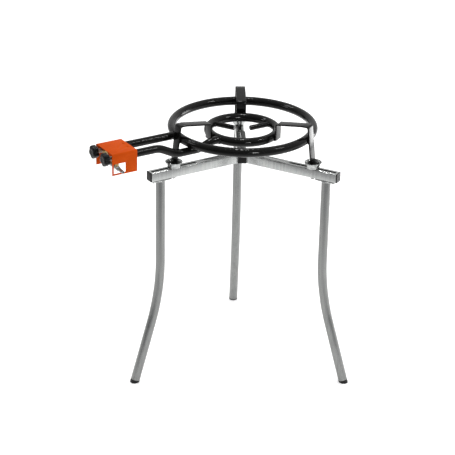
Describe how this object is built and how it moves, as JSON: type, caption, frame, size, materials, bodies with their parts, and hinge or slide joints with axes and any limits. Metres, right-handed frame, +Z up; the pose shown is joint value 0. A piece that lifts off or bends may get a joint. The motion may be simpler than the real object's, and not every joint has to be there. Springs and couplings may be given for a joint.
{
  "type": "gas burner stand",
  "caption": "Two-ring black enamel gas burner with orange valve cover and lobed knobs, lifted off cups on a slotted tripod with bent tube legs.",
  "frame": {"origin": "on the floor, at the middle of the whole object's footprint box", "axes": "+Z up; the gas controls are at the -X end; the burner's axis is upright at x = 0.118 m, y = 0"},
  "size_m": [0.6356, 0.5968, 0.726],
  "materials": {
    "black_enamel": "glossy vitreous enamel",
    "galvanised_steel": "bright galvanised",
    "plated_steel": "zinc plated",
    "orange_paint": "powder coated",
    "black_plastic": "moulded, matt",
    "knob_plastic": "moulded, semi gloss",
    "brass": "machined"
  },
  "bodies": {
    "stand": {"feed_arm": "galvanised_steel", "feed_arm_cap": "black_plastic", "feed_leg": "galvanised_steel", "feed_leg_plate": "galvanised_steel", "feed_foot": "black_plastic", "back_arm": "galvanised_steel", "back_arm_cap": "black_plastic", "back_leg": "galvanised_steel", "back_leg_plate": "galvanised_steel", "back_foot": "black_plastic", "right_arm": "galvanised_steel", "right_arm_cap": "black_plastic", "right_leg": "galvanised_steel", "right_leg_plate": "galvanised_steel", "right_foot": "black_plastic", "hub_cap": "black_plastic", "leg_bolts": "plated_steel", "leg_nuts": "plated_steel"},
    "burner": {"outer_ring": "black_enamel", "inner_ring": "black_enamel", "inner_fingers": "black_enamel", "feed_support": "black_enamel", "back_support": "black_enamel", "right_support": "black_enamel", "outer_feed_tube": "black_enamel", "inner_feed_tube": "black_enamel", "outer_mixer": "black_enamel", "inner_mixer": "black_enamel", "outer_injector": "brass", "inner_injector": "brass", "outer_valve": "brass", "inner_valve": "brass", "manifold": "plated_steel", "manifold_plug": "brass", "hose_nozzle": "plated_steel", "cover_bracket": "black_enamel", "valve_cover": "orange_paint", "cover_rivets": "orange_paint", "outer_spring": "plated_steel", "inner_spring": "plated_steel"},
    "feed_cup_slider": {"feed_cup": "galvanised_steel", "feed_cup_bolt": "plated_steel", "feed_cup_nut": "plated_steel"},
    "back_cup_slider": {"back_cup": "galvanised_steel", "back_cup_bolt": "plated_steel", "back_cup_nut": "plated_steel"},
    "right_cup_slider": {"right_cup": "galvanised_steel", "right_cup_bolt": "plated_steel", "right_cup_nut": "plated_steel"},
    "outer_push": {"outer_spring_seat": "plated_steel"},
    "outer_control": {"outer_stem": "brass", "outer_knob": "knob_plastic"},
    "inner_push": {"inner_spring_seat": "plated_steel"},
    "inner_control": {"inner_stem": "brass", "inner_knob": "knob_plastic"}
  },
  "joints": [
    {"name": "burner_lift", "type": "slide", "parent": "stand", "child": "burner", "axis": [0, 0, 1], "range_m": [0, 0.15]},
    {"name": "feed_cup_slide", "type": "slide", "parent": "stand", "child": "feed_cup_slider", "axis": [-1, 0, 0], "range_m": [-0.005, 0.005]},
    {"name": "back_cup_slide", "type": "slide", "parent": "stand", "child": "back_cup_slider", "axis": [0.5, 0.866, 0], "range_m": [-0.005, 0.005]},
    {"name": "right_cup_slide", "type": "slide", "parent": "stand", "child": "right_cup_slider", "axis": [0.5, -0.866, 0], "range_m": [-0.005, 0.005]},
    {"name": "outer_knob_push", "type": "slide", "parent": "burner", "child": "outer_push", "axis": [1, 0, 0], "range_m": [0, 0.004], "stiffness_N_per_m": 1500, "springref_m": -0.004, "deforming": ["outer_spring"]},
    {"name": "outer_knob_turn", "type": "hinge", "parent": "outer_push", "child": "outer_control", "pos_m": [-0.31025, 0.03, 0.686], "axis": [-1, 0, 0], "range_deg": [0, 210]},
    {"name": "inner_knob_push", "type": "slide", "parent": "burner", "child": "inner_push", "axis": [1, 0, 0], "range_m": [0, 0.004], "stiffness_N_per_m": 1500, "springref_m": -0.004, "deforming": ["inner_spring"]},
    {"name": "inner_knob_turn", "type": "hinge", "parent": "inner_push", "child": "inner_control", "pos_m": [-0.31025, -0.03, 0.686], "axis": [-1, 0, 0], "range_deg": [0, 210]}
  ]
}
